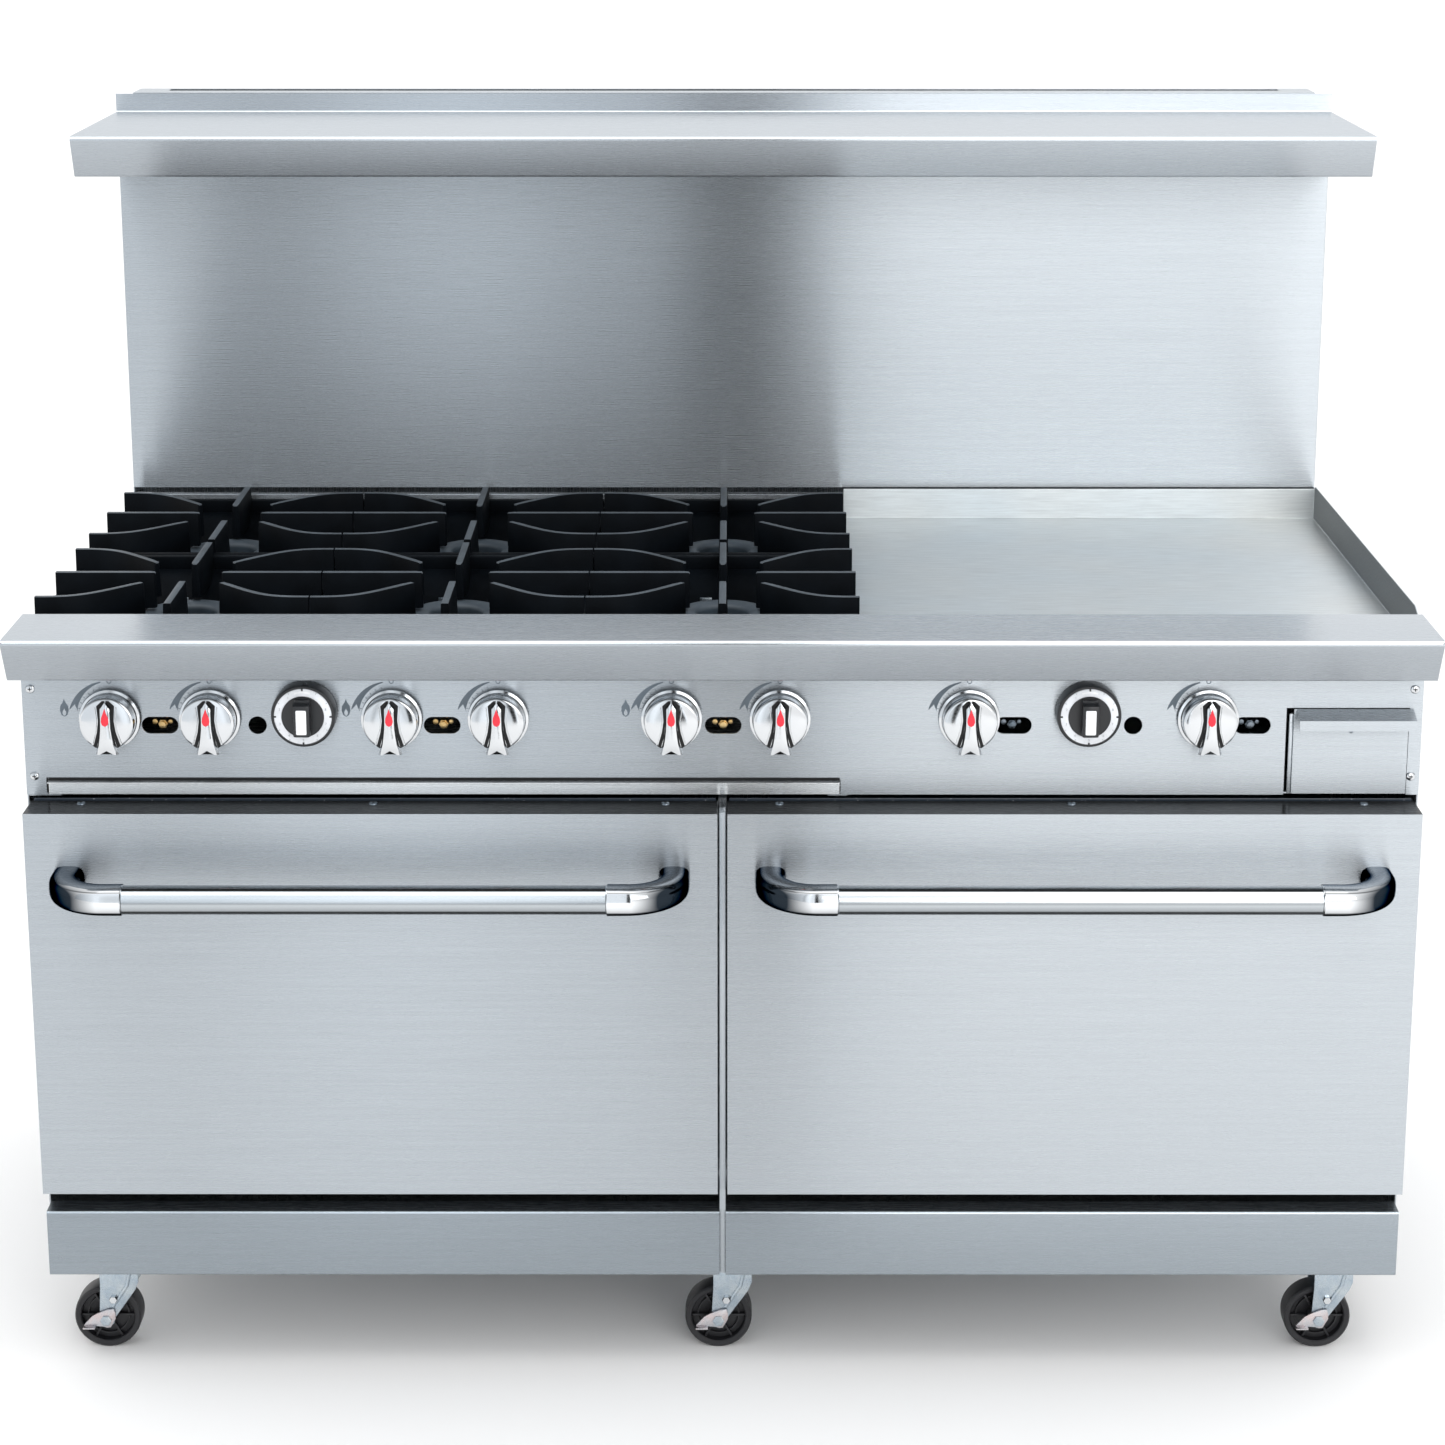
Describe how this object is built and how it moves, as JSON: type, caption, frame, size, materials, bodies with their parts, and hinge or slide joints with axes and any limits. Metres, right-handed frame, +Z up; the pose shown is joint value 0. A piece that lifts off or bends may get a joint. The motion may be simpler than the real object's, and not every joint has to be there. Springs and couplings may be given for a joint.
{
  "type": "commercial gas range",
  "caption": "Floor-standing restaurant range: open gas burners with lift-off cast grates, a flat griddle, twin drop-door ovens, a riser with high shelf, on casters.",
  "frame": {"origin": "on the floor, under the middle of the range's bounding box", "axes": "+X to the right seen from the front, +Y to the back, +Z up; the doors face -Y"},
  "size_m": [1.524, 0.8673, 1.3684],
  "materials": {
    "stainless": "brushed",
    "oven_steel": "satin enamel",
    "dark_steel": "satin",
    "cast_iron": "cast, semi-matte",
    "griddle_steel": "ground",
    "chrome": "polished",
    "handle_metal": "brushed, with polished ends",
    "zinc": "zinc plated",
    "black_plastic": "moulded",
    "brass": "machined",
    "wire": "plated wire"
  },
  "bodies": {
    "range": {"base_frame": "dark_steel", "body_panels": "stainless", "kick_plates": "stainless", "control_panel": "stainless", "panel_screws": "zinc", "front_ledge": "stainless", "gas_manifold": "dark_steel", "gas_valves": "brass", "open_burners": "cast_iron", "tube_burners": "dark_steel", "burner_box": "stainless", "griddle": "griddle_steel", "flue_riser": "stainless", "high_shelf": "stainless", "caster_plates": "zinc", "oven_liner_left": "oven_steel", "oven_liner_right": "oven_steel"},
    "door_left": {"door_shell_left": "stainless", "door_liner_left": "stainless", "door_handle_left": "handle_metal", "door_screws_left": "zinc"},
    "rack_left": {"oven_rack_left": "wire"},
    "door_right": {"door_shell_right": "stainless", "door_liner_right": "stainless", "door_handle_right": "handle_metal", "door_screws_right": "zinc"},
    "rack_right": {"oven_rack_right": "wire"},
    "burner_knob_1_body": {"burner_knob_1": "chrome"},
    "burner_knob_2_body": {"burner_knob_2": "chrome"},
    "burner_knob_3_body": {"burner_knob_3": "chrome"},
    "burner_knob_4_body": {"burner_knob_4": "chrome"},
    "burner_knob_5_body": {"burner_knob_5": "chrome"},
    "burner_knob_6_body": {"burner_knob_6": "chrome"},
    "griddle_knob_1_body": {"griddle_knob_1": "chrome"},
    "griddle_knob_2_body": {"griddle_knob_2": "chrome"},
    "thermostat_dial_left_body": {"thermostat_dial_left": "black_plastic"},
    "thermostat_dial_right_body": {"thermostat_dial_right": "black_plastic"},
    "drip_tray_body": {"drip_tray": "stainless"},
    "grease_drawer_body": {"grease_drawer": "stainless"},
    "grate_front_left_body": {"grate_front_left": "cast_iron"},
    "grate_front_middle_body": {"grate_front_middle": "cast_iron"},
    "grate_front_right_body": {"grate_front_right": "cast_iron"},
    "grate_rear_left_body": {"grate_rear_left": "cast_iron"},
    "grate_rear_middle_body": {"grate_rear_middle": "cast_iron"},
    "grate_rear_right_body": {"grate_rear_right": "cast_iron"},
    "fork_front_left": {"caster_fork_front_left": "zinc"},
    "wheel_front_left": {"caster_wheel_front_left": "black_plastic"},
    "brake_left": {"brake_lever_left": "zinc"},
    "fork_front_middle": {"caster_fork_front_middle": "zinc"},
    "wheel_front_middle": {"caster_wheel_front_middle": "black_plastic"},
    "brake_middle": {"brake_lever_middle": "zinc"},
    "fork_front_right": {"caster_fork_front_right": "zinc"},
    "wheel_front_right": {"caster_wheel_front_right": "black_plastic"},
    "brake_right": {"brake_lever_right": "zinc"},
    "fork_rear_left": {"caster_fork_rear_left": "zinc"},
    "wheel_rear_left": {"caster_wheel_rear_left": "black_plastic"},
    "fork_rear_middle": {"caster_fork_rear_middle": "zinc"},
    "wheel_rear_middle": {"caster_wheel_rear_middle": "black_plastic"},
    "fork_rear_right": {"caster_fork_rear_right": "zinc"},
    "wheel_rear_right": {"caster_wheel_rear_right": "black_plastic"}
  },
  "joints": [
    {"name": "door_hinge_left", "type": "hinge", "parent": "range", "child": "door_left", "pos_m": [-0.3812, -0.3213, 0.231], "axis": [1, 0, 0], "range_deg": [0, 90]},
    {"name": "rack_slide_left", "type": "slide", "parent": "range", "child": "rack_left", "axis": [0, -1, 0], "range_m": [0, 0.05]},
    {"name": "door_hinge_right", "type": "hinge", "parent": "range", "child": "door_right", "pos_m": [0.3812, -0.3213, 0.231], "axis": [1, 0, 0], "range_deg": [0, 90]},
    {"name": "rack_slide_right", "type": "slide", "parent": "range", "child": "rack_right", "axis": [0, -1, 0], "range_m": [0, 0.05]},
    {"name": "burner_knob_1_turn", "type": "hinge", "parent": "range", "child": "burner_knob_1_body", "pos_m": [-0.6664, -0.3175, 0.7545], "axis": [0, -1, 0], "range_deg": [0, 90]},
    {"name": "burner_knob_2_turn", "type": "hinge", "parent": "range", "child": "burner_knob_2_body", "pos_m": [-0.5575, -0.3175, 0.7545], "axis": [0, -1, 0], "range_deg": [0, 90]},
    {"name": "burner_knob_3_turn", "type": "hinge", "parent": "range", "child": "burner_knob_3_body", "pos_m": [-0.3597, -0.3175, 0.7545], "axis": [0, -1, 0], "range_deg": [0, 90]},
    {"name": "burner_knob_4_turn", "type": "hinge", "parent": "range", "child": "burner_knob_4_body", "pos_m": [-0.2438, -0.3175, 0.7545], "axis": [0, -1, 0], "range_deg": [0, 90]},
    {"name": "burner_knob_5_turn", "type": "hinge", "parent": "range", "child": "burner_knob_5_body", "pos_m": [-0.0553, -0.3175, 0.7545], "axis": [0, -1, 0], "range_deg": [0, 90]},
    {"name": "burner_knob_6_turn", "type": "hinge", "parent": "range", "child": "burner_knob_6_body", "pos_m": [0.0627, -0.3175, 0.7545], "axis": [0, -1, 0], "range_deg": [0, 90]},
    {"name": "griddle_knob_1_turn", "type": "hinge", "parent": "range", "child": "griddle_knob_1_body", "pos_m": [0.2684, -0.3175, 0.7545], "axis": [0, -1, 0], "range_deg": [0, 90]},
    {"name": "griddle_knob_2_turn", "type": "hinge", "parent": "range", "child": "griddle_knob_2_body", "pos_m": [0.5281, -0.3175, 0.7545], "axis": [0, -1, 0], "range_deg": [0, 90]},
    {"name": "thermostat_dial_left_turn", "type": "hinge", "parent": "range", "child": "thermostat_dial_left_body", "pos_m": [-0.4539, -0.3175, 0.762], "axis": [0, -1, 0], "range_deg": [0, 300]},
    {"name": "thermostat_dial_right_turn", "type": "hinge", "parent": "range", "child": "thermostat_dial_right_body", "pos_m": [0.3971, -0.3175, 0.762], "axis": [0, -1, 0], "range_deg": [0, 300]},
    {"name": "drip_tray_slide", "type": "slide", "parent": "range", "child": "drip_tray_body", "axis": [0, -1, 0], "range_m": [0, 0.5]},
    {"name": "grease_drawer_slide", "type": "slide", "parent": "range", "child": "grease_drawer_body", "axis": [0, -1, 0], "range_m": [0, 0.38]},
    {"name": "grate_front_left_lift", "type": "slide", "parent": "range", "child": "grate_front_left_body", "axis": [0, 0, 1], "range_m": [0, 0.15]},
    {"name": "grate_front_middle_lift", "type": "slide", "parent": "range", "child": "grate_front_middle_body", "axis": [0, 0, 1], "range_m": [0, 0.15]},
    {"name": "grate_front_right_lift", "type": "slide", "parent": "range", "child": "grate_front_right_body", "axis": [0, 0, 1], "range_m": [0, 0.15]},
    {"name": "grate_rear_left_lift", "type": "slide", "parent": "range", "child": "grate_rear_left_body", "axis": [0, 0, 1], "range_m": [0, 0.15]},
    {"name": "grate_rear_middle_lift", "type": "slide", "parent": "range", "child": "grate_rear_middle_body", "axis": [0, 0, 1], "range_m": [0, 0.15]},
    {"name": "grate_rear_right_lift", "type": "slide", "parent": "range", "child": "grate_rear_right_body", "axis": [0, 0, 1], "range_m": [0, 0.15]},
    {"name": "swivel_front_left", "type": "hinge", "parent": "range", "child": "fork_front_left", "pos_m": [-0.6878, -0.2805, 0.1], "axis": [0, 0, 1], "continuous": true},
    {"name": "roll_front_left", "type": "hinge", "parent": "fork_front_left", "child": "wheel_front_left", "pos_m": [-0.7038, -0.2805, 0.0381], "axis": [0, 1, 0], "continuous": true},
    {"name": "brake_turn_left", "type": "hinge", "parent": "fork_front_left", "child": "brake_left", "pos_m": [-0.7038, -0.3025, 0.0381], "axis": [0, -1, 0], "range_deg": [-15, 20]},
    {"name": "swivel_front_middle", "type": "hinge", "parent": "range", "child": "fork_front_middle", "pos_m": [0.0112, -0.2805, 0.1], "axis": [0, 0, 1], "continuous": true},
    {"name": "roll_front_middle", "type": "hinge", "parent": "fork_front_middle", "child": "wheel_front_middle", "pos_m": [-0.0048, -0.2805, 0.0381], "axis": [0, 1, 0], "continuous": true},
    {"name": "brake_turn_middle", "type": "hinge", "parent": "fork_front_middle", "child": "brake_middle", "pos_m": [-0.0048, -0.3025, 0.0381], "axis": [0, -1, 0], "range_deg": [-15, 20]},
    {"name": "swivel_front_right", "type": "hinge", "parent": "range", "child": "fork_front_right", "pos_m": [0.6959, -0.2805, 0.1], "axis": [0, 0, 1], "continuous": true},
    {"name": "roll_front_right", "type": "hinge", "parent": "fork_front_right", "child": "wheel_front_right", "pos_m": [0.6799, -0.2805, 0.0381], "axis": [0, 1, 0], "continuous": true},
    {"name": "brake_turn_right", "type": "hinge", "parent": "fork_front_right", "child": "brake_right", "pos_m": [0.6799, -0.3025, 0.0381], "axis": [0, -1, 0], "range_deg": [-15, 20]},
    {"name": "swivel_rear_left", "type": "hinge", "parent": "range", "child": "fork_rear_left", "pos_m": [-0.6878, 0.3555, 0.1], "axis": [0, 0, 1], "continuous": true},
    {"name": "roll_rear_left", "type": "hinge", "parent": "fork_rear_left", "child": "wheel_rear_left", "pos_m": [-0.7038, 0.3555, 0.0381], "axis": [0, 1, 0], "continuous": true},
    {"name": "swivel_rear_middle", "type": "hinge", "parent": "range", "child": "fork_rear_middle", "pos_m": [0.0112, 0.3555, 0.1], "axis": [0, 0, 1], "continuous": true},
    {"name": "roll_rear_middle", "type": "hinge", "parent": "fork_rear_middle", "child": "wheel_rear_middle", "pos_m": [-0.0048, 0.3555, 0.0381], "axis": [0, 1, 0], "continuous": true},
    {"name": "swivel_rear_right", "type": "hinge", "parent": "range", "child": "fork_rear_right", "pos_m": [0.6959, 0.3555, 0.1], "axis": [0, 0, 1], "continuous": true},
    {"name": "roll_rear_right", "type": "hinge", "parent": "fork_rear_right", "child": "wheel_rear_right", "pos_m": [0.6799, 0.3555, 0.0381], "axis": [0, 1, 0], "continuous": true}
  ]
}
